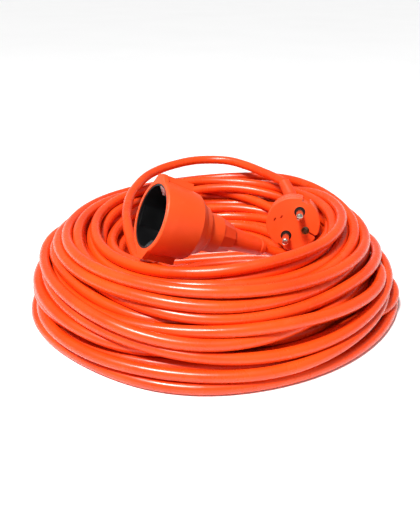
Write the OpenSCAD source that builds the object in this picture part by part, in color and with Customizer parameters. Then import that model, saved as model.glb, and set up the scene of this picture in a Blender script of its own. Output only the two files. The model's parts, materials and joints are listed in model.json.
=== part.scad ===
/* [Cord] */
// Outside diameter of the three-core cord
cord_d = 7.2; // [6.8:0.1:7.6]
// Outer radius of the wound coil at its widest
coil_r_out = 129; // [126:1:132]
// Radius of the open middle of the coil
coil_r_in = 68; // [66:1:70]
// Height of the coil above the surface that it lies on
coil_h = 54; // [52:1:55]

/* [Socket] */
// Radius of the round recess that takes the plug
recess_r = 19.6; // [19.5:0.05:19.8]
// Depth of the recess, from the rim to the contact face
recess_depth = 17.5; // [17.5:0.1:18]
// Wall of the black insert around the recess
insert_wall = 1.1; // [1:0.05:1.2]
// Outer radius of the moulded body at its mouth
socket_r = 23.6; // [23.4:0.1:24]
// Length of the cup, from the mouth to its shoulder
cup_len = 38; // [38:0.5:40]
// Width of the two guide ribs in the recess
guide_rib_w = 14; // [10:0.5:15]
// Width of each sprung earth clip
clip_w = 6; // [5:0.5:6.5]

/* [Plug] */
// Radius of the plug's face
plug_r = 18.6; // [18.4:0.05:18.65]
// Radius of each round pin
pin_r = 2.4; // [2.35:0.01:2.42]
// Length of each pin in front of the face
pin_len = 19; // [18.5:0.1:19.5]
// Distance between the two pins, and between the socket's two holes
pin_pitch = 19; // [18.8:0.1:19.2]
// Distance from the middle of the face to the earth hole
earth_offset = 9.8; // [9.6:0.1:10]

/* [Hidden] */
$fn = 64;
orange = "#F4602A";
gap = 0.1;
far = 100;

// Where each end piece lies: the middle of its mating face, the heading and rise of the
// direction that the face looks in, and its turn about that direction
socket_at = [-39, -48, 75];
socket_turn = [202.5, 25, 90 + 18];
plug_at = [55.5, -13, 54];
plug_turn = [-99.5, 11.5, 90 - 25.5];

// Half section of the coil as radius and height, from its open middle over the crest to its foot
crest_r = 95;
coil_outline = [[coil_r_in, 0], [coil_r_in, coil_h - 28], [74, coil_h - 15], [84, coil_h - 6],
    [crest_r, coil_h], [104, coil_h - 1], [coil_r_out - 16, coil_h - 9], [coil_r_out - 8, coil_h - 21],
    [coil_r_out - 2, coil_h - 36], [coil_r_out, coil_h - 48], [coil_r_out - 3, 0]];

// Socket, measured back from its mouth
insert_r = recess_r + insert_wall;
bore_r = insert_r + gap;
half_pitch = pin_pitch / 2;
face_z = -recess_depth;
floor_t = 3;
insert_step = -26;
insert_back = -33.6;
tower_r = 14.4;
tower_wall = 1.4;
cover_t = 1.4;
chamber_z = insert_back - cover_t - 0.4;
neck_z = -48;
spigot_z = -44;
terminal_y = -4;
socket_hole_r = pin_r + 0.4;
contact_in_r = pin_r + 0.05;
contact_out_r = 3.2;
contact_top = face_z - floor_t - 0.2;
contact_len = 11;
post_r = 1.2;
post_len = 3.2;
post_z = contact_top - contact_len - post_len;
clip_t = 0.6;
clip_back = -24;
clip_r = recess_r + 0.3;
clip_slot_w = clip_w + 1.2;
clip_front = -2.4;
clip_room = 2.2;
clip_room_z = -19;
clip_play = 0.4;
rib_depth = 1.6;
ear_r = 26.6;
ear_len = 22;
collar_z = -59;
relief_z = -88;
wire_r = 1.2;
core_ring_r = 1.7;

// Plug, measured back from its face
plug_front_t = 6;
plug_rim_z = -17;
plug_back_z = -36;
plug_back_r = 7.4;
plug_chamber_r = 14.2;
plug_chamber_z = -21.5;
plug_shoulder_chamber_r = 9.6;
plug_neck_chamber_r = 5.4;
plug_shoulder_z = -26;
plug_neck_chamber_z = -31;
pin_shank_r = pin_r - 0.2;
boss_r = 3.75;
carrier_z = -12;
carrier_size = [8.4, 26.4, 4.8];
tube_in_r = pin_r + 0.1;
tube_out_r = 3.1;
tube_front = -1.5;
strap_z = -16.6;
strap_t = 0.8;
strap_w = 4;
strap_x = 17.9;

// Turns a point from an end piece's own directions into the frame's, and places it
function turn_z(p, a) = [p.x * cos(a) - p.y * sin(a), p.x * sin(a) + p.y * cos(a), p.z];
function turn_y(p, a) = [p.x * cos(a) + p.z * sin(a), p.y, p.z * cos(a) - p.x * sin(a)];
function placed(p, at, turn) = at + turn_z(turn_y(turn_z(p, turn[2]), 90 - turn[1]), turn[0]);

// Points of the flexible sleeve behind the plug, in the plug's own directions, and its radii
plug_relief_route = [[0, 0, -36], [0, 0, -42], [-1.5, 2, -48.5], [-4, 4.5, -55], [-7.5, 7, -60.5],
    [-12, 10, -65.5], [-17, 12.5, -70.5]];
plug_relief_radii = [6.6, 6.4, 6.0, 5.6, 5.2, 4.8, 4.4];

// Points of the lead from the plug's sleeve over the back of the coil, round its left
// side and down into the inner turns under the socket
plug_lead_route = concat([placed(plug_relief_route[6], plug_at, plug_turn)], [
    [51, 73, 58.5], [41, 86, 59], [30, 98, 60], [16, 108, 61], [1, 112, 61], [-15, 110, 61],
    [-31, 103, 60], [-45, 91, 59], [-55, 75, 58], [-61, 57, 56], [-64, 39, 54], [-64, 20, 52],
    [-62, 2, 50], [-58, -15, 46], [-53, -31, 41], [-45, -47, 36], [-34, -60, 32], [-20, -69, 28]]);

// Points of the lead from the socket's sleeve down to the bottom inner turns
socket_lead_route = concat([placed([0, 0, relief_z], socket_at, socket_turn)], [
    [41, -15, 34], [52, -13, 30], [62, -14, 25], [72, -19, 21], [80, -28, 16], [84, -38, 12],
    [84, -49, 9], [81, -59, 7], [77, -65, 6]]);

// Closed tube swept along points, with one ring of corners at each point
function ahead(pts, i) = pts[min(i + 1, len(pts) - 1)] - pts[max(i - 1, 0)];
function unit(v) = v / norm(v);
function side_of(t) = unit(cross(t, abs(t.z) < 0.9 * norm(t) ? [0, 0, 1] : [1, 0, 0]));
function ring(c, t, r, n) = [for (k = [0 : n - 1])
    c + r * (cos(360 * k / n) * side_of(t) + sin(360 * k / n) * unit(cross(side_of(t), t)))];
module swept_tube(pts, radii, n) {
    last = len(pts) - 1;
    corners = [for (i = [0 : last]) each ring(pts[i], ahead(pts, i), radii[min(i, len(radii) - 1)], n)];
    sides = [for (i = [0 : last - 1]) for (k = [0 : n - 1])
        let (a = i * n + k, b = i * n + (k + 1) % n) each [[a, b, b + n], [a, b + n, a + n]]];
    ends = [[for (k = [n - 1 : -1 : 0]) k], [for (k = [0 : n - 1]) last * n + k]];
    polyhedron(points = corners, faces = concat(sides, ends));
}

module at_socket() {
    translate(socket_at) rotate([0, 90 - socket_turn[1], socket_turn[0]]) rotate(socket_turn[2]) children();
}

module at_plug() {
    translate(plug_at) rotate([0, 90 - plug_turn[1], plug_turn[0]]) rotate(plug_turn[2]) children();
}

// A copy on each side of the local X axis, then one turned about Z
module both_ends(angle) {
    for (a = [angle, angle + 180]) rotate(a) children();
}

module disc_stack(r, z_low, z_high) {
    translate([0, 0, z_low]) cylinder(r = r, h = z_high - z_low);
}

module cord_coil() {
    color(orange) rotate_extrude($fn = 128) polygon(coil_outline);
}

module cord_socket_lead() {
    color(orange) swept_tube(socket_lead_route, [cord_d / 2], 10);
}

module cord_plug_lead() {
    color(orange) swept_tube(plug_lead_route, [cord_d / 2], 10);
}

// Trailing socket

module ear() {
    translate([0, 0, -ear_len]) linear_extrude(ear_len)
        polygon([[-5.4, 19], [-3.4, ear_r], [3.4, ear_r], [5.4, 19]]);
    translate([0, 0, -3]) linear_extrude(3)
        polygon([[-9.5, 21], [-3.6, ear_r + 0.3], [3.6, ear_r + 0.3], [9.5, 21]]);
}

module socket_body() {
    color(orange) at_socket() difference() {
        union() {
            rotate_extrude() polygon([[0, 0], [socket_r - 0.5, 0], [socket_r, -0.6], [socket_r - 0.2, -8],
                [socket_r - 1.2, -22], [socket_r - 1.6, -26.4], [socket_r - 3.4, -28.8],
                [17.6, 6 - cup_len], [16.2, 2.2 - cup_len], [13.8, -cup_len - 0.2], [13.3, -cup_len - 1],
                [12.6, neck_z], [0, neck_z]]);
            both_ends(0) ear();
        }
        disc_stack(bore_r, insert_step - gap, far);
        disc_stack(tower_r + gap, chamber_z, insert_step);
        disc_stack(13, -cup_len + 1.1, chamber_z + 1);
        disc_stack(10.8, spigot_z + 1, -cup_len + 2);
        disc_stack(5.9, neck_z - 1, spigot_z + 2);
        both_ends(0) translate([-clip_slot_w / 2, 0, insert_step - gap])
            cube([clip_slot_w, clip_r + clip_t + clip_play, -insert_step - 1.2]);
        both_ends(0) translate([-clip_slot_w / 2, 0, clip_room_z])
            cube([clip_slot_w, clip_r + clip_t + clip_room, -clip_room_z - 1.2]);
    }
}

module socket_strain_relief() {
    color(orange) at_socket() {
        translate([0, 0, collar_z]) cylinder(h = neck_z - collar_z, r1 = 9.6, r2 = 12.5, $fn = 10);
        disc_stack(5.8, neck_z - 1, spigot_z);
        rotate_extrude() polygon([[0, collar_z + 0.5], [8.2, collar_z + 0.5], [8, collar_z - 2],
            [6.2, relief_z + 6], [5.9, relief_z + 5.4], [5.9, relief_z + 4.4], [6.2, relief_z + 3.8],
            [5.8, relief_z + 1], [4.6, relief_z], [0, relief_z]]);
    }
}

module socket_insert() {
    color("#1A1A1C") at_socket() difference() {
        union() {
            difference() {
                disc_stack(insert_r, insert_step, -0.4);
                disc_stack(recess_r, face_z, far);
                disc_stack(insert_r - 2.2, insert_step - 1, face_z - floor_t);
            }
            both_ends(90) intersection() {
                translate([-guide_rib_w / 2, recess_r - rib_depth, face_z - 1])
                    cube([guide_rib_w, rib_depth + 0.5, recess_depth - 1]);
                disc_stack(recess_r + 0.5, face_z - 1, far);
            }
        }
        both_ends(0) translate([-clip_slot_w / 2, recess_r - 3, insert_step - 1])
            cube([clip_slot_w, 9, -insert_step]);
        for (x = [-half_pitch, half_pitch]) translate([x, 0, 0]) disc_stack(socket_hole_r, insert_back, far);
    }
}

module socket_contact_block() {
    color("#202024") at_socket() difference() {
        disc_stack(tower_r, insert_back, face_z - floor_t - gap);
        disc_stack(tower_r - tower_wall, insert_back - 1, far);
        both_ends(0) translate([-clip_slot_w / 2, 0, insert_step - 1]) cube([clip_slot_w, far, far]);
    }
}

module socket_back_cover() {
    color("#26262A") at_socket() difference() {
        disc_stack(tower_r, insert_back - gap - cover_t, insert_back - gap);
        for (x = [-half_pitch, half_pitch]) {
            translate([x, 0, 0]) disc_stack(contact_out_r + 0.4, -far, far);
            translate([x, terminal_y, 0]) disc_stack(1.6, -far, far);
        }
        translate([0, -2, 0]) disc_stack(2, -far, far);
    }
}

module tulip(x) {
    at_socket() translate([x, 0, contact_top - contact_len]) difference() {
        cylinder(r = contact_out_r, h = contact_len);
        translate([0, 0, -1]) cylinder(r = contact_in_r, h = contact_len + 2);
        translate([-0.35, -5, 3]) cube([0.7, 10, contact_len]);
    }
    at_socket() translate([x, terminal_y, post_z]) cylinder(r = post_r, h = 5);
}

module socket_live_contact() {
    color("#C9A24B") tulip(half_pitch);
}

module socket_neutral_contact() {
    color("#C9A24B") tulip(-half_pitch);
}

module socket_earth_strap() {
    color("#B9BCC0") at_socket() translate([-clip_w / 2, -clip_r - clip_t, clip_back - 1.4])
        cube([clip_w, 2 * (clip_r + clip_t), 1]);
}

// Sprung leaf with its contact bow, lying in the plane of the socket's axis
module earth_clip() {
    rotate([90, 0, 90]) translate([0, 0, -clip_w / 2]) linear_extrude(clip_w)
        polygon([[clip_r, clip_back], [clip_r + clip_t, clip_back], [clip_r + clip_t, clip_front],
            [clip_r, clip_front], [14.5, -6], [14.5, -9.8], [17.2, -14.9], [17.8, -14.6], [15.2, -9.6],
            [15.2, -6.4], [clip_r, clip_front - 0.8]]);
}

module socket_earth_clip_upper() {
    color("#C4C7CA") at_socket() earth_clip();
}

module socket_earth_clip_lower() {
    color("#C4C7CA") at_socket() rotate(180) earth_clip();
}

// One core from a terminal to its place in the round of three at the end of the jacket
module core(start, angle, end_z) {
    finish = [core_ring_r * cos(angle), core_ring_r * sin(angle), end_z];
    bend_in = [finish.x, finish.y, end_z + 3];
    halfway = [(start.x + finish.x) / 2, (start.y + finish.y) / 2, (start.z + bend_in.z) / 2];
    swept_tube([start, start - [0, 0, 1], halfway, bend_in, finish], [wire_r], 8);
}

module socket_core(start, angle) {
    at_socket() core(start, angle, spigot_z + 0.1);
}

module socket_brown_wire() {
    color("#6B3A1E") socket_core([half_pitch, terminal_y, post_z - 0.1], 30);
}

module socket_blue_wire() {
    color("#2060B0") socket_core([-half_pitch, terminal_y, post_z - 0.1], 150);
}

module socket_earth_wire() {
    color("#5FA83A") socket_core([0, -2, clip_back - 1.5], 270);
}

// Plug

module notch(x_in, half_w) {
    translate([0, 0, plug_rim_z]) linear_extrude(far)
        polygon([[plug_r + 1, -half_w], [x_in, 0], [plug_r + 1, half_w]]);
}

module plug_body() {
    color(orange) at_plug() difference() {
        rotate_extrude() polygon([[0, 0], [plug_r - 0.7, 0], [plug_r - 0.2, -0.3], [plug_r, -0.9],
            [plug_r, plug_rim_z], [16.9, -21.5], [13, -26], [10, -29], [8.4, -32.5],
            [plug_back_r, plug_back_z], [0, plug_back_z]]);
        disc_stack(plug_chamber_r, plug_chamber_z, -plug_front_t);
        disc_stack(plug_shoulder_chamber_r, plug_shoulder_z, plug_chamber_z + 1);
        disc_stack(plug_neck_chamber_r, plug_neck_chamber_z, plug_shoulder_z + 1);
        for (y = [-half_pitch, half_pitch])
            translate([0, y, 0]) disc_stack(boss_r + 0.02, -plug_front_t - 1, 1);
        translate([earth_offset, 0, 0]) disc_stack(tube_out_r - 0.2, tube_front - 1, 1);
        translate([earth_offset, 0, 0]) disc_stack(tube_out_r + gap, -plug_front_t - 1, tube_front);
        translate([earth_offset, -0.65, -3]) cube([far, 1.3, 4]);
        notch(plug_r - 2.2, 2.6);
        rotate(180) notch(plug_r - 1.1, 1.6);
        both_ends(0) translate([16.6, -strap_w / 2 - 0.2, strap_z - 0.2]) cube([far, strap_w + 0.4, 13]);
        both_ends(0) translate([0, -strap_w / 2 - 0.2, strap_z - 0.2])
            cube([far, strap_w + 0.4, strap_t + 0.4]);
        both_ends(90) translate([plug_r - 1.9, -2.7, plug_rim_z]) cube([far, 5.4, far]);
        for (p = [[-12.5, -3.2], [-9.3, 0.5]])
            translate([p.x - 0.55, p.y - 1.2, -1.8]) cube([1.1, 2.4, 3]);
    }
}

module plug_strain_relief() {
    color(orange) at_plug() swept_tube(plug_relief_route, plug_relief_radii, 16);
}

module plug_pin_carrier() {
    color("#1A1A1C") at_plug() difference() {
        union() {
            translate([-carrier_size.x / 2, -carrier_size.y / 2, carrier_z]) cube(carrier_size);
            for (y = [-half_pitch, half_pitch]) translate([0, y, 0]) disc_stack(boss_r, carrier_z + 4, 0);
        }
        for (y = [-half_pitch, half_pitch]) translate([0, y, 0]) disc_stack(pin_shank_r + 0.02, -far, far);
    }
}

module pin(y) {
    at_plug() translate([0, y, 0]) rotate_extrude()
        polygon([[0, -19], [1.7, -19], [1.7, -14], [pin_shank_r, -14], [pin_shank_r, 0], [pin_r, 0],
            [pin_r, pin_len - 1.6], [2.15, pin_len - 0.8], [1.5, pin_len - 0.2], [0.7, pin_len],
            [0, pin_len]]);
}

module plug_live_pin() {
    color("#D9D9D6") pin(half_pitch);
}

module plug_neutral_pin() {
    color("#D9D9D6") pin(-half_pitch);
}

module plug_earth_tube() {
    color("#D0B060") at_plug() translate([earth_offset, 0, strap_z + strap_t]) difference() {
        cylinder(r = tube_out_r, h = tube_front - strap_z - strap_t);
        translate([0, 0, -1]) cylinder(r = tube_in_r, h = far);
        translate([0, -0.5, 2]) cube([5, 1, far]);
    }
}

module plug_earth_strap() {
    color("#C4C7CA") at_plug() {
        translate([-strap_x, -strap_w / 2, strap_z]) cube([2 * strap_x, strap_w, strap_t]);
        both_ends(0) translate([strap_x - strap_t, -strap_w / 2, strap_z]) cube([strap_t, strap_w, 12.4]);
    }
}

module plug_core(start, angle) {
    at_plug() core(start, angle, plug_neck_chamber_z + 0.1);
}

module plug_brown_wire() {
    color("#6B3A1E") plug_core([0, half_pitch, -19.1], 90);
}

module plug_blue_wire() {
    color("#2060B0") plug_core([0, -half_pitch, -19.1], 210);
}

module plug_earth_wire() {
    color("#5FA83A") plug_core([3, 0, strap_z - 0.1], 330);
}

cord_coil();
cord_socket_lead();
cord_plug_lead();
socket_body();
socket_strain_relief();
socket_insert();
socket_contact_block();
socket_back_cover();
socket_live_contact();
socket_neutral_contact();
socket_earth_strap();
socket_earth_clip_upper();
socket_earth_clip_lower();
socket_brown_wire();
socket_blue_wire();
socket_earth_wire();
plug_body();
plug_strain_relief();
plug_pin_carrier();
plug_live_pin();
plug_neutral_pin();
plug_earth_tube();
plug_earth_strap();
plug_brown_wire();
plug_blue_wire();
plug_earth_wire();
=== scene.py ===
"""Looks of the extension cord: its long cord wound in a loose coil, materials, floor, light and camera."""
import json
import math

import bpy
import numpy as np
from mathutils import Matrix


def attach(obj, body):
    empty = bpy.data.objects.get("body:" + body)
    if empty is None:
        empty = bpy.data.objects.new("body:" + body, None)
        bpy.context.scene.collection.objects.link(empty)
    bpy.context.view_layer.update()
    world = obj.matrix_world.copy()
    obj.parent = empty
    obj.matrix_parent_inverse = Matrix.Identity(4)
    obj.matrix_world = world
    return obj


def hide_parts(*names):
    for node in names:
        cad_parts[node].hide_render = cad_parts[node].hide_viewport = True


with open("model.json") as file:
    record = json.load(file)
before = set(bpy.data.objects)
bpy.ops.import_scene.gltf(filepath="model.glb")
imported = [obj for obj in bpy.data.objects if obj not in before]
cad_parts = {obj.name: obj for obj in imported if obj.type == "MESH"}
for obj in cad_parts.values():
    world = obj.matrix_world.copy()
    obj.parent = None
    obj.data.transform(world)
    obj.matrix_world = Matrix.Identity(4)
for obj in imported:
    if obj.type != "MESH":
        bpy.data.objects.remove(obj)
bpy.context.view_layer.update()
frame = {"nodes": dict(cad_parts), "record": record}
nodes = frame["nodes"]

# ---------------------------------------------------------------- camera

CAMERA_AT = (-0.002, -0.367, 0.210)
CAMERA_DOWN_DEG = 27.9
CAMERA_LENS = 37.9


def make_camera():
    data = bpy.data.cameras.new("camera")
    data.lens = CAMERA_LENS
    data.clip_start = 0.01
    camera = bpy.data.objects.new("camera", data)
    camera.location = CAMERA_AT
    camera.rotation_euler = (math.radians(90 - CAMERA_DOWN_DEG), 0, 0)
    bpy.context.scene.collection.objects.link(camera)
    bpy.context.scene.camera = camera


# ---------------------------------------------------------------- the cord's route

CORD_D = 0.0072
CORD_R = CORD_D / 2
# The bend below which the cord is opened, and the distances between the points of the line while
# it settles, of the finished curve, and of the leads where the turns feel them
TIGHTEST_BEND = 0.031
SPACING, CURVE_SPACING, LEAD_SPACING = 0.0075, 0.004, 0.002
# How far the cord keeps from the end pieces, and how much of each lead stays as given
CLEARANCE = 0.0003
SOCKET_LEAD_FREE, PLUG_LEAD_FREE = 0.030, 0.060

# Where each end piece lies: the middle of its mating face, then the heading and rise of the
# direction that the face looks in, and its turn about that direction
SOCKET_AT, SOCKET_TURN = (-0.039, -0.048, 0.075), (202.5, 25, 108)
PLUG_AT, PLUG_TURN = (0.0555, -0.013, 0.054), (-99.5, 11.5, 64.5)
SOCKET_SLEEVE_END = (0, 0, -0.088)

# The sleeve behind the plug, in the plug's own directions
PLUG_SLEEVE = [(0, 0, -0.036), (0, 0, -0.042), (-0.0015, 0.002, -0.0485), (-0.004, 0.0045, -0.055),
               (-0.0075, 0.007, -0.0605), (-0.012, 0.010, -0.0655), (-0.017, 0.0125, -0.0705)]
PLUG_SLEEVE_RADII = [0.0066, 0.0064, 0.0060, 0.0056, 0.0052, 0.0048, 0.0044]
# The open room in front of the plug's face, from its middle
PLUG_ROOM = (-0.0055, -0.034, 0.015)

# From the plug's sleeve over the back of the coil, round its left side and down into the inner turns
PLUG_LEAD = [(0.051, 0.073, 0.0585), (0.041, 0.086, 0.059), (0.030, 0.098, 0.060), (0.016, 0.108, 0.061),
             (0.001, 0.112, 0.061), (-0.015, 0.110, 0.061), (-0.031, 0.103, 0.060), (-0.045, 0.091, 0.059),
             (-0.055, 0.075, 0.058), (-0.061, 0.057, 0.056), (-0.064, 0.039, 0.054), (-0.064, 0.020, 0.052),
             (-0.062, 0.002, 0.050), (-0.058, -0.015, 0.046), (-0.053, -0.031, 0.041), (-0.045, -0.047, 0.036),
             (-0.034, -0.060, 0.032), (-0.020, -0.069, 0.028)]
# From the socket's sleeve down to the bottom inner turns
SOCKET_LEAD = [(0.041, -0.015, 0.034), (0.052, -0.013, 0.030), (0.062, -0.014, 0.025), (0.072, -0.019, 0.021),
               (0.080, -0.028, 0.016), (0.084, -0.038, 0.012), (0.084, -0.049, 0.009), (0.081, -0.059, 0.007),
               (0.077, -0.065, 0.006)]

TURNS = 47
SEED = 8
SECTIONS = 72
STEP_DEG = 360 / SECTIONS
ROUNDS, SETTLING_ROUNDS = 500, 200
# Points at each end of the coil that turn gradually into the leads
JOIN = 16
# First lay: distance in a row and between rows in diameters, how far the order of winding is mixed,
# and the turns of the lowest rows that lie inside the inner face
ROW_PITCH, ROW_RISE, ORDER_MIX = 1.03, 0.87, 3.0
INNER_PLACES = {0: [(0.060, CORD_R), (0.066, CORD_R)],
                1: [(0.063, CORD_R + 0.0063), (0.069, CORD_R + 0.0063)],
                2: [(0.067, CORD_R + 0.0126)]}
# Settling in sections: room between turns in diameters, how far each round they sink before and
# after this share of the rounds, and how firmly a tidy turn is drawn to its place
TURN_ROOM, SINK, LATE_SINK, LATE = 1.004, 0.00005, 0.000017, 0.8
HOME_HOLD = 0.02
# Strides and shares of the smoothing, in the sections and in space
SECTION_STRIDES = ((5, 0.25), (3, 0.4), (2, 0.6), (1, 0.8))
SPACE_STRIDES = ((3, 0.15), (2, 0.3), (1, 0.6))
# Height above which the plug's lead lies over the turns
OVER_TURNS = 0.045
# Height of the highest row, and the radius of the coil's inner and outer face at a height
TOP_ROW = 0.055
INNER_FACE = ([0, 0.034, 0.046, 0.053, 0.059], [0.071, 0.070, 0.073, 0.079, 0.088])
OUTER_FACE = ([0, 0.006, 0.018, 0.033, 0.045, 0.056], [0.1245, 0.125, 0.1235, 0.119, 0.112, 0.101])
# How far the upper turns lie outward and upward at the back, where the plug's lead crosses them
BACK_OUT, BACK_UP = 0.011, 0.004
# Radius and height that the first turn starts from and the last turn ends at
FIRST_PLACE, LAST_PLACE = (0.1005, 0.0050), (0.069, 0.030)
# Turns that stray from their row: first and last turn, heading, half width in degrees,
# radius, height or None, and how strongly they are held there
LOOSE_TURNS = [(7, 8.4, 200, 42, 0.127, None, 0.3), (8.5, 9.5, 210, 34, 0.124, None, 0.2),
               (7.5, 8.5, -14, 30, 0.137, 0.012, 0.4),
               (33.5, 34.5, -18, 26, 0.127, 0.020, 0.2), (36, 37, 220, 26, 0.124, 0.012, 0.2)]
# Turns that cut straight across the back of the open middle: turn, heading that the straight
# stretch faces, its distance from the middle, and its height
ACROSS_TURNS = [(1, 92, 0.012, 0.0036), (2, 88, 0.020, 0.0036), (3, 91, 0.028, 0.0036), (4, 87, 0.036, 0.0036),
                (5, 90, 0.045, 0.0036), (6, 92, 0.054, 0.0036)]
ACROSS_HOLD = 0.25


def placement(at, turn):
    """Origin and directions of an end piece, as a point and a matrix."""
    heading, rise, roll = (math.radians(a) for a in (turn[0], 90 - turn[1], turn[2]))

    def about_z(a):
        return np.array([[math.cos(a), -math.sin(a), 0], [math.sin(a), math.cos(a), 0], [0, 0, 1]])

    about_y = np.array([[math.cos(rise), 0, math.sin(rise)], [0, 1, 0], [-math.sin(rise), 0, math.cos(rise)]])
    return np.array(at), about_z(heading) @ about_y @ about_z(roll)


def placed(place, point):
    return place[0] + place[1] @ np.array(point, float)


SOCKET = placement(SOCKET_AT, SOCKET_TURN)
PLUG = placement(PLUG_AT, PLUG_TURN)
socket_exit = placed(SOCKET, SOCKET_SLEEVE_END)
plug_sleeve = np.array([placed(PLUG, p) for p in PLUG_SLEEVE])
plug_exit = plug_sleeve[-1]
plug_lead = np.array(PLUG_LEAD)
socket_lead = np.array(SOCKET_LEAD)


def smooth(t):
    t = np.clip(t, 0, 1)
    return t * t * (3 - 2 * t)


def arc_length(line):
    return np.concatenate([[0], np.cumsum(np.linalg.norm(np.diff(line, axis=0), axis=1))])


def respaced(points, spacing):
    """The same line through the points as a smooth curve, with its points about that far apart."""
    padded = np.vstack([2 * points[0] - points[1], points, 2 * points[-1] - points[-2]])
    a, b, c, d = padded[:-3], padded[1:-2], padded[2:-1], padded[3:]
    parts = []
    for u in np.linspace(0, 1, 8, endpoint=False):
        parts.append(0.5 * (2 * b + (c - a) * u + (2 * a - 5 * b + 4 * c - d) * u ** 2
                            + (3 * b - a - 3 * c + d) * u ** 3))
    fine = np.vstack([np.stack(parts, 1).reshape(-1, 3), points[-1:]])
    along = arc_length(fine)
    at = np.linspace(0, along[-1], round(along[-1] / spacing) + 1)
    return np.stack([np.interp(at, along, fine[:, k]) for k in range(3)], 1)


def solid_cones():
    """Cones that the cord keeps clear of: both ends, as two ends of an axis and two radii."""
    socket_parts = [(0, -0.030, 0.0238, 0.0212), (-0.030, -0.038, 0.0205, 0.013),
                    (-0.038, -0.059, 0.0136, 0.0100), (-0.059, -0.088, 0.0082, 0.0060)]
    plug_parts = [(0, -0.018, 0.0188, 0.0188), (-0.018, -0.036, 0.0175, 0.008)]
    cones = []
    for place, parts in ((SOCKET, socket_parts), (PLUG, plug_parts)):
        for front, back, r_front, r_back in parts:
            cones.append((placed(place, (0, 0, front)), placed(place, (0, 0, back)), r_front, r_back))
    cones.append((PLUG[0], PLUG[0] + np.array(PLUG_ROOM), 0.0188, 0.0188))
    for side in (1, -1):
        ear = [placed(SOCKET, (0, side * 0.024, -0.001)), placed(SOCKET, (0, side * 0.023, -0.027))]
        pin = [placed(PLUG, (0, side * 0.0095, 0)), placed(PLUG, (0, side * 0.0095, 0.017))]
        cones += [(*ear, 0.0036, 0.0036), (*pin, 0.0026, 0.0026)]
    for i in range(len(plug_sleeve) - 1):
        cones.append((plug_sleeve[i], plug_sleeve[i + 1], PLUG_SLEEVE_RADII[i], PLUG_SLEEVE_RADII[i + 1]))
    return cones


def pushed_out(points, cone, room):
    """The points, with those inside a cone moved out of its side, or out of a wide cone's nearer end."""
    start, end, r_start, r_end = cone
    axis = end - start
    length = np.linalg.norm(axis)
    axis = axis / length
    along = (points - start) @ axis
    out = points - start - along[:, None] * axis
    off = np.linalg.norm(out, axis=1)
    side = r_start + (r_end - r_start) * np.clip(along / length, 0, 1) + room - off
    cap = np.minimum(along + room, length + room - along)
    inside = (cap > 0) & (side > 0)
    by_cap = inside & (cap < side) & (r_start > 0.015)
    by_side = inside & ~by_cap
    moved = points.copy()
    moved[by_side] += out[by_side] / np.maximum(off[by_side], 1e-9)[:, None] * side[by_side][:, None]
    toward = np.where(along < length / 2, -1, 1)
    moved[by_cap] += axis * (toward * cap)[by_cap][:, None]
    return moved


def wander(rng, count, period, size):
    """Smooth random numbers, with a new value each period."""
    values = rng.normal(0, size, int(count / period) + 4)
    at = np.arange(count) / period
    i = at.astype(int)
    f = smooth(at - i)
    return values[i] * (1 - f) + values[i + 1] * f


def turn_places(rng):
    """Radius and height of each turn, wound in rows to and fro from the bottom up, a little out of order."""
    rows = []
    height, row = CORD_R, 0
    while height < TOP_ROW:
        inner, outer = np.interp(height, *INNER_FACE), np.interp(height, *OUTER_FACE)
        count = int((outer - inner) / (CORD_D * ROW_PITCH))
        shift = 0.5 + 0.25 * (-1) ** row
        places = [(inner + (outer - inner) * (i + shift) / count, height) for i in range(count)]
        places += INNER_PLACES.get(row, [])
        rows += sorted(places, reverse=row % 2 == 1)
        height += CORD_D * ROW_RISE
        row += 1
    order = np.argsort(np.arange(len(rows)) + rng.normal(0, ORDER_MIX, len(rows)))
    places = [rows[i] for i in order]
    keep = np.sort(rng.choice(len(places), min(TURNS - 1, len(places)), replace=False))
    return np.array([FIRST_PLACE] + [places[i] for i in keep] + [LAST_PLACE])


def heading_deg(point):
    return math.degrees(math.atan2(point[1], point[0]))


def first_lay(rng):
    """The turns before they touch: the number of each point, then its radius and height."""
    places = turn_places(rng)
    start, end = heading_deg(socket_lead[-1]), heading_deg(plug_lead[-1])
    first = math.ceil(-start / STEP_DEG)
    last = int((-start + (TURNS - 1) * 360 + (start - end) % 360) / STEP_DEG)
    number = np.arange(first, last + 1)
    at = (number - first) / (last - first) * (len(places) - 1)
    i = np.minimum(at.astype(int), len(places) - 2)
    f = smooth((at - i - 0.25) / 0.5)
    radius, height = (places[i, k] * (1 - f) + places[i + 1, k] * f for k in (0, 1))
    count = len(number)
    radius = radius + wander(rng, count, 26, 0.0022) + wander(rng, count, 60, 0.0022)
    height = height + wander(rng, count, 30, 0.0012) + 0.00012 * (number - first) / SECTIONS
    return number, radius, height


def lead_crossings():
    """Radius and height of the two leads in each section that they pass."""
    found = [[] for _ in range(SECTIONS)]
    for lead, tip in ((socket_lead, [socket_exit]), (plug_lead, plug_sleeve)):
        for p in respaced(np.vstack([tip, lead]), LEAD_SPACING)[:-1]:
            found[round(-heading_deg(p) / STEP_DEG) % SECTIONS].append((math.hypot(p[0], p[1]), p[2]))
    most = max(len(f) for f in found)
    radius = np.full((SECTIONS, most), 10.0) + np.arange(most)
    height = np.zeros((SECTIONS, most))
    for s, crossings in enumerate(found):
        for i, (r, z) in enumerate(crossings):
            radius[s, i], height[s, i] = r, z
    return radius, height


def apart(r, z, other_r, other_z, wide, share):
    """How far each point of a section moves to be wide enough from the others, and how many it touches."""
    dr = r[:, :, None] - other_r[:, None, :]
    dz = z[:, :, None] - other_z[:, None, :]
    gap = np.sqrt(dr * dr + dz * dz) + 1e-12
    push = np.where((gap < wide) & (gap > 1e-11), (wide - gap) * share / gap, 0)
    return (push * dr).sum(2), (push * dz).sum(2), (push > 0).sum(2)


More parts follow.
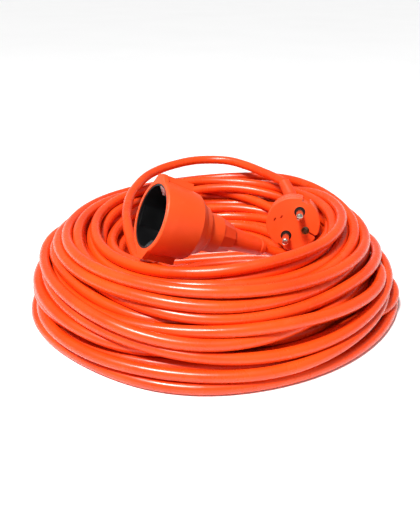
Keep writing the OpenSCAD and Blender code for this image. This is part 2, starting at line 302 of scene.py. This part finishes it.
def over_lead(r, z, lead_r, lead_z):
    """How far each point of a section stands too high where the plug's lead lies over the turns."""
    beside = np.abs(r[:, :, None] - lead_r[:, None, :]) < CORD_D * 0.9
    over = z[:, :, None] - (lead_z[:, None, :] - CORD_D)
    return np.where(beside & (lead_z[:, None, :] > OVER_TURNS), np.maximum(over, 0), 0).max(2)


def faired(values, strides, strength, free=1.0):
    """The line with its bending smoothed over several lengths."""
    values = values.copy()
    for stride, share in strides:
        bend = (values[:-4 * stride] - 4 * values[stride:-3 * stride] + 6 * values[2 * stride:-2 * stride]
                - 4 * values[3 * stride:-stride] + values[4 * stride:])
        inner = free if np.isscalar(free) else free[2 * stride:-2 * stride]
        values[2 * stride:-2 * stride] -= bend / 16 * share * strength * inner
    return values


def wound_coil(cones):
    """The coil settled section by section: turns pushed apart, kept fair, and pulled down by their weight."""
    rng = np.random.default_rng(SEED)
    number, radius, height = first_lay(rng)
    turn = (number - number[0]) / SECTIONS
    bearing = -number * STEP_DEG
    hold = np.full(len(number), HOME_HOLD)
    home = radius.copy()
    for first, last, heading, half_width, to_radius, to_height, strength in LOOSE_TURNS:
        away = (bearing - heading + 180) % 360 - 180
        near = np.exp(-(away / half_width) ** 2) * ((turn >= first) & (turn < last))
        home = home * (1 - near) + to_radius * near
        hold = np.maximum(hold, strength * near)
        if to_height is not None:
            height = height * (1 - near) + to_height * near
    for first, heading, distance, to_height in ACROSS_TURNS:
        away = (bearing - heading + 180) % 360 - 180
        straight = distance / np.maximum(np.cos(np.radians(away)), 0.05)
        across = (turn >= first) & (turn < first + 1) & (straight < home)
        home = np.where(across, straight, home)
        hold = np.where(across, ACROSS_HOLD, hold)
        height = np.where(across, to_height, height)
    radius = home.copy()
    tidy_turns = hold < 2.5 * HOME_HOLD
    back = smooth(np.sin(np.radians(bearing)) * 1.2) * tidy_turns
    upper = smooth((height - 0.025) / 0.030)
    radius += back * upper * BACK_OUT
    home = np.where(tidy_turns, radius, home)
    height = height + back * upper * BACK_UP
    columns = math.ceil((number[-1] + 1) / SECTIONS)
    section, column = number % SECTIONS, number // SECTIONS
    lead_r, lead_z = lead_crossings()
    grid_r = np.full((SECTIONS, columns), -10.0) + np.arange(columns)
    grid_z = np.zeros((SECTIONS, columns))
    cos, sin = np.cos(np.radians(bearing)), np.sin(np.radians(bearing))
    blend = smooth(np.linspace(0, 1, JOIN))
    for n in range(ROUNDS):
        done = n / ROUNDS
        wide = CORD_D * min(1.0, 0.6 + 0.4 * done / 0.3) * TURN_ROOM
        grid_r[section, column] = radius
        grid_z[section, column] = height
        move_r, move_z, touching = apart(grid_r, grid_z, grid_r, grid_z, wide, 0.5)
        lead_move_r, lead_move_z, lead_touching = apart(grid_r, grid_z, lead_r, lead_z, wide, 1.0)
        move_r += lead_move_r / np.maximum(lead_touching, 1)
        move_z += lead_move_z / np.maximum(lead_touching, 1)
        move_z -= over_lead(grid_r, grid_z, lead_r, lead_z) * 0.5
        ease = 1.3 / np.maximum(1, touching * 0.5)
        radius = radius + (move_r * ease)[section, column]
        height = height + (move_z * ease)[section, column]
        stiffness = 0.9 if done < LATE else 0.5 if done < 0.93 else 0.2
        radius, height = (faired(values, SECTION_STRIDES, stiffness) for values in (radius, height))
        radius += (home - radius) * hold
        height -= SINK if done < LATE else LATE_SINK
        limit = np.interp(height, *OUTER_FACE) + back * BACK_OUT * smooth((height - 0.020) / 0.025)
        radius -= np.where(tidy_turns, np.maximum(radius - limit, 0) * 0.5, 0)
        if n % 2 == 0 or done > 0.9:
            line = np.stack([radius * cos, radius * sin, height], 1)
            for cone in cones:
                line = pushed_out(line, cone, CORD_R + CLEARANCE)
            radius, height = np.hypot(line[:, 0], line[:, 1]), line[:, 2].copy()
        height = np.maximum(height, CORD_R)
        for end, order in ((socket_lead[-1], slice(0, JOIN)), (plug_lead[-1], slice(-1, -JOIN - 1, -1))):
            radius[order] = radius[order] * blend + math.hypot(end[0], end[1]) * (1 - blend)
            height[order] = height[order] * blend + end[2] * (1 - blend)
    return np.stack([radius * cos, radius * sin, height], 1)


def closest(p, i, j):
    """Where two stretches of the line come nearest: the shares along each, and the step between them."""
    along_i, along_j, between = p[i + 1] - p[i], p[j + 1] - p[j], p[i] - p[j]
    a, e = (along_i ** 2).sum(1), (along_j ** 2).sum(1)
    b, c, f = (along_i * along_j).sum(1), (along_i * between).sum(1), (along_j * between).sum(1)
    slant = a * e - b * b
    s = np.clip(np.where(slant > 1e-6 * a * e, (b * f - c * e) / np.maximum(slant, 1e-18), 0.5), 0, 1)
    t = np.clip((b * s + f) / e, 0, 1)
    s = np.clip((b * t - c) / a, 0, 1)
    return s, t, between + s[:, None] * along_i - t[:, None] * along_j


def eased_bends(line, free):
    """The line with every bend that is too tight for the cord opened a little."""
    stride = 2
    middle = 0.5 * (line[:-2 * stride] + line[2 * stride:])
    sag = middle - line[stride:-stride]
    most = (stride * SPACING) ** 2 / (2 * TIGHTEST_BEND)
    size = np.sqrt((sag ** 2).sum(1))[:, None]
    excess = sag * np.maximum(1 - most / np.maximum(size, 1e-9), 0)
    line = line.copy()
    line[stride:-stride] += 0.5 * free[stride:-stride] * excess
    return line


def settled(line, cones, free):
    """The whole line settled in space, so that crossings are clear of each other too."""
    count = len(line)
    free = free[:, None]
    reach, room = 0.0175, CORD_D * 1.002
    for n in range(SETTLING_ROUNDS):
        if n % 15 == 0:
            middle = 0.5 * (line[1:] + line[:-1])
            square = (middle ** 2).sum(1)
            near = square[:, None] + square[None, :] - 2 * middle @ middle.T < reach ** 2
            i, j = np.nonzero(np.triu(near, 4))
        s, t, step = closest(line, i, j)
        gap = np.sqrt((step ** 2).sum(1))
        k = np.nonzero(gap < room)[0]
        away = step[k] / np.maximum(gap[k], 1e-9)[:, None]
        away[gap[k] < 0.55 * CORD_D] = (0, 0, -1)
        shares = np.stack([1 - s[k], s[k], 1 - t[k], t[k]])
        push = (room - gap[k]) / (shares ** 2).sum(0)
        move, touching = np.zeros((count, 3)), np.zeros(count)
        for index, share, sign in zip((i[k], i[k] + 1, j[k], j[k] + 1), shares, (1, 1, -1, -1)):
            for axis in range(3):
                move[:, axis] += np.bincount(index, (push * share * sign) * away[:, axis], count)
            touching += np.bincount(index, share, count)
        line = line + free * move / np.maximum(touching * 0.7, 1)[:, None]
        line = faired(line, SPACE_STRIDES, 1.0, free)
        line = eased_bends(line, free)
        for cone in cones:
            line = np.where(free > 0, pushed_out(line, cone, CORD_R + CLEARANCE), line)
        line[:, 2] = np.maximum(line[:, 2], CORD_R)
    return line


def cord_line():
    """The cord's centreline from the socket's sleeve to the plug's."""
    cones = solid_cones()
    coil = wound_coil(cones)
    whole = np.vstack([[socket_exit], socket_lead[:-1], coil[1:-1], plug_lead[::-1], [plug_exit]])
    line = respaced(whole, SPACING)
    from_start = arc_length(line)
    socket_held = arc_length(np.vstack([[socket_exit], socket_lead]))[-1] - SOCKET_LEAD_FREE
    plug_held = arc_length(np.vstack([plug_lead, [plug_exit]]))[-1] - PLUG_LEAD_FREE
    free = ((from_start > socket_held) & (from_start < from_start[-1] - plug_held)).astype(float)
    return settled(line, cones, free)


# ---------------------------------------------------------------- materials

class Shader:
    """A Principled material with procedural colour, roughness and bump."""

    def __init__(self, name):
        self.material = bpy.data.materials.new(name)
        self.material.use_nodes = True
        self.tree = self.material.node_tree
        self.shader = self.tree.nodes["Principled BSDF"]
        self.place = self.add("ShaderNodeTexCoord").outputs["Object"]

    def add(self, kind, **settings):
        node = self.tree.nodes.new(kind)
        for key, value in settings.items():
            setattr(node, key, value)
        return node

    def link(self, source, target):
        self.tree.links.new(source, target)

    def noise(self, scale, detail=3.0, roughness=0.55, stretch=None):
        node = self.add("ShaderNodeTexNoise")
        node.inputs["Scale"].default_value = scale
        node.inputs["Detail"].default_value = detail
        node.inputs["Roughness"].default_value = roughness
        if stretch is None:
            self.link(self.place, node.inputs["Vector"])
        else:
            mapping = self.add("ShaderNodeMapping")
            mapping.inputs["Scale"].default_value = stretch
            self.link(self.place, mapping.inputs["Vector"])
            self.link(mapping.outputs["Vector"], node.inputs["Vector"])
        return node.outputs["Fac"]

    def ramp(self, value, *stops):
        """Colours or greys by the value: each stop is a position and a colour or a number."""
        node = self.add("ShaderNodeValToRGB")
        while len(node.color_ramp.elements) < len(stops):
            node.color_ramp.elements.new(0.5)
        for element, (position, colour) in zip(node.color_ramp.elements, stops):
            element.position = position
            rgb = (colour,) * 3 if isinstance(colour, (int, float)) else colour
            element.color = (*rgb, 1)
        self.link(value, node.inputs["Fac"])
        return node.outputs["Color"]

    def mixed(self, share, a, b, how="MIX"):
        node = self.add("ShaderNodeMix", data_type="RGBA", blend_type=how)
        if isinstance(share, (int, float)):
            node.inputs[0].default_value = share
        else:
            self.link(share, node.inputs[0])
        for socket, value in ((node.inputs[6], a), (node.inputs[7], b)):
            if isinstance(value, tuple):
                socket.default_value = (*value, 1)
            else:
                self.link(value, socket)
        return node.outputs[2]

    def bump(self, height, strength, distance, under=None):
        node = self.add("ShaderNodeBump")
        node.inputs["Strength"].default_value = strength
        node.inputs["Distance"].default_value = distance
        self.link(height, node.inputs["Height"])
        if under is not None:
            self.link(under, node.inputs["Normal"])
        return node.outputs["Normal"]

    def finish(self, colour, rough, normal, **constants):
        self.link(colour, self.shader.inputs["Base Color"])
        self.link(rough, self.shader.inputs["Roughness"])
        self.link(normal, self.shader.inputs["Normal"])
        for key, value in constants.items():
            self.shader.inputs[key.replace("_", " ").title().replace("Ior", "IOR")].default_value = value
        return self.material


def rgb(r, g, b):
    """A colour given in screen values from 0 to 255, as linear light."""
    shares = (r / 255, g / 255, b / 255)
    return tuple(c / 12.92 if c <= 0.04045 else ((c + 0.055) / 1.055) ** 2.4 for c in shares)


def soft_pvc(name, light, mid, dark, rough, grain):
    """Flexible PVC: a satin skin with faint flow colour, handling smears, dust and fine grain."""
    s = Shader(name)
    patches = s.noise(22, 4)
    colour = s.ramp(patches, (0.30, dark), (0.52, mid), (0.75, light))
    smears = s.noise(60, 5, 0.65, (1.0, 1.0, 2.2))
    colour = s.mixed(s.ramp(smears, (0.60, 0.0), (0.85, 0.10)), colour, rgb(245, 160, 125))
    specks = s.noise(900, 2)
    colour = s.mixed(s.ramp(specks, (0.70, 0.0), (0.80, 0.16)), colour, dark)
    sheen = s.ramp(s.noise(75, 4), (0.30, rough - 0.07), (0.70, rough + 0.08))
    fine = s.bump(s.noise(grain, 2), 0.12, 0.0002)
    normal = s.bump(s.noise(110, 3), 0.10, 0.0006, fine)
    return s.finish(colour, sheen, normal, specular_ior_level=0.45)


def moulded_plastic(name, light, dark, rough, grain, strength, scuff):
    """Injection-moulded plastic with a spark-eroded grain, flow marks and light scuffs."""
    s = Shader(name)
    colour = s.ramp(s.noise(30, 4), (0.32, dark), (0.70, light))
    scuffs = s.noise(160, 6, 0.7, (1.0, 0.35, 1.6))
    colour = s.mixed(s.ramp(scuffs, (0.62, 0.0), (0.80, 0.22)), colour, scuff)
    shine = s.ramp(s.noise(90, 5), (0.30, rough - 0.08), (0.70, rough + 0.08))
    fine = s.bump(s.noise(grain, 3, 0.7), strength, 0.0003)
    normal = s.bump(scuffs, 0.08, 0.0004, fine)
    return s.finish(colour, shine, normal, specular_ior_level=0.32)


def drawn_metal(name, light, dark, rough, stretch):
    """Bare metal with drawing lines along one direction and darker handling marks."""
    s = Shader(name)
    lines = s.noise(900, 2, 0.5, stretch)
    colour = s.mixed(s.ramp(lines, (0.25, 0.0), (0.70, 0.25)), light, dark)
    tarnish = s.noise(120, 4)
    colour = s.mixed(s.ramp(tarnish, (0.55, 0.0), (0.80, 0.35)), colour, dark)
    shine = s.ramp(lines, (0.30, rough - 0.03), (0.70, rough + 0.05))
    normal = s.bump(lines, 0.04, 0.0001)
    return s.finish(colour, shine, normal, metallic=1.0)


def banded_core(name, base, band):
    """Core insulation in one colour with a lengthwise band in another."""
    s = Shader(name)
    stripes = s.noise(260, 1, 0.4, (1.0, 1.0, 0.15))
    colour = s.ramp(stripes, (0.47, base), (0.53, band))
    shine = s.ramp(s.noise(300, 3), (0.3, 0.34), (0.7, 0.46))
    return s.finish(colour, shine, s.bump(s.noise(900, 2), 0.08, 0.0002))


MATERIALS = {
    "orange_cord": soft_pvc("cord_pvc", rgb(238, 76, 18), rgb(232, 68, 14), rgb(220, 56, 10), 0.27, 1500),
    "orange_moulding": moulded_plastic("orange_moulding", rgb(234, 79, 25), rgb(228, 71, 18), 0.50, 1600, 0.22,
                                       rgb(252, 130, 88)),
    "orange_sleeve": soft_pvc("sleeve_pvc", rgb(234, 76, 23), rgb(229, 68, 16), rgb(218, 56, 12), 0.46, 1300),
    "black_insert": moulded_plastic("black_insert", rgb(17, 17, 18), rgb(9, 9, 10), 0.36, 1400, 0.18,
                                    rgb(38, 38, 41)),
    "brass_contact": drawn_metal("brass_contact", rgb(222, 186, 104), rgb(150, 112, 52), 0.30, (1.0, 1.0, 0.1)),
    "spring_steel": drawn_metal("spring_steel", rgb(214, 216, 220), rgb(128, 130, 134), 0.24, (1.0, 0.1, 1.0)),
    "nickel_pin": drawn_metal("nickel_pin", rgb(226, 220, 208), rgb(140, 130, 116), 0.20, (0.2, 1.0, 1.0)),
    "brown_core": banded_core("brown_core", rgb(98, 52, 26), rgb(112, 62, 32)),
    "blue_core": banded_core("blue_core", rgb(28, 84, 170), rgb(36, 98, 190)),
    "green_yellow_core": banded_core("green_yellow_core", rgb(70, 150, 48), rgb(236, 208, 40)),
}


def paint_frame():
    """Gives every carried-over CAD node the procedural material of its slot."""
    slots = {}
    for entry in frame["record"]["subparts"]:
        slots[entry["node"]] = entry["material_slot"]
    for name, node in nodes.items():
        material = MATERIALS[slots[name]]
        if not node.material_slots:
            node.data.materials.append(material)
        for slot in node.material_slots:
            slot.material = material


# ---------------------------------------------------------------- cord

def make_cord():
    line = respaced(cord_line(), CURVE_SPACING)
    data = bpy.data.curves.new("cord", "CURVE")
    data.dimensions = "3D"
    data.bevel_depth = CORD_R
    data.bevel_resolution = 6
    data.use_fill_caps = True
    spline = data.splines.new("POLY")
    spline.points.add(len(line) - 1)
    spline.points.foreach_set("co", np.hstack([line, np.ones((len(line), 1))]).ravel())
    spline.use_smooth = True
    data.materials.append(MATERIALS["orange_cord"])
    cord = bpy.data.objects.new("cord", data)
    bpy.context.scene.collection.objects.link(cord)
    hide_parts("cord_coil", "cord_socket_lead", "cord_plug_lead")
    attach(cord, "cord_set")


# ---------------------------------------------------------------- floor and light

def make_floor():
    data = bpy.data.meshes.new("floor")
    half = 8.0
    corners = [(-half, -half, 0), (half, -half, 0), (half, half, 0), (-half, half, 0)]
    data.from_pydata(corners, [], [(0, 1, 2, 3)])
    floor = bpy.data.objects.new("floor", data)
    bpy.context.scene.collection.objects.link(floor)
    s = Shader("pale_floor")
    colour = s.ramp(s.noise(3, 3), (0.3, 0.92), (0.7, 0.94))
    data.materials.append(s.finish(colour, s.ramp(s.noise(40, 3), (0.3, 0.55), (0.7, 0.65)),
                                   s.bump(s.noise(200, 2), 0.02, 0.001)))


# The sky as heights and greys: white close to the horizon, dimmer from a little above it
SKY = [(0.04, 1.0), (0.14, 0.32)]
KEY_FROM, KEY_STRENGTH = (-0.30, -0.28, 0.95), 2.65


def area_light(name, at, aim, size, power, colour=(1, 1, 1)):
    data = bpy.data.lights.new(name, "AREA")
    data.shape = "RECTANGLE"
    data.size, data.size_y = size
    data.energy = power
    data.color = colour
    light = bpy.data.objects.new(name, data)
    light.location = at
    direction = np.array(aim) - np.array(at)
    flat = math.hypot(direction[0], direction[1])
    light.rotation_euler = (math.atan2(flat, -direction[2]), 0, math.atan2(-direction[0], direction[1]))
    bpy.context.scene.collection.objects.link(light)


def sun_light(name, toward, wide_deg, strength):
    data = bpy.data.lights.new(name, "SUN")
    data.angle = math.radians(wide_deg)
    data.energy = strength
    light = bpy.data.objects.new(name, data)
    flat = math.hypot(toward[0], toward[1])
    light.rotation_euler = (math.atan2(flat, toward[2]), 0, math.atan2(toward[0], -toward[1]))
    bpy.context.scene.collection.objects.link(light)


def light_studio():
    world = bpy.data.worlds.new("studio")
    bpy.context.scene.world = world
    world.use_nodes = True
    tree = world.node_tree
    direction = tree.nodes.new("ShaderNodeTexCoord")
    height = tree.nodes.new("ShaderNodeSeparateXYZ")
    ramp = tree.nodes.new("ShaderNodeValToRGB")
    for element, (position, grey) in zip(ramp.color_ramp.elements, SKY):
        element.position = position
        element.color = (grey, grey, grey, 1)
    tree.links.new(direction.outputs["Generated"], height.inputs["Vector"])
    tree.links.new(height.outputs["Z"], ramp.inputs["Fac"])
    tree.links.new(ramp.outputs["Color"], tree.nodes["Background"].inputs["Color"])
    tree.nodes["Background"].inputs["Strength"].default_value = 1.0
    sun_light("key", KEY_FROM, 9, KEY_STRENGTH)
    area_light("strip", (-0.22, -0.40, 0.75), (0, 0, 0.02), (0.26, 0.05), 6.0)
    bpy.context.scene.view_settings.view_transform = "Standard"


make_camera()
make_cord()
paint_frame()
make_floor()
light_studio()
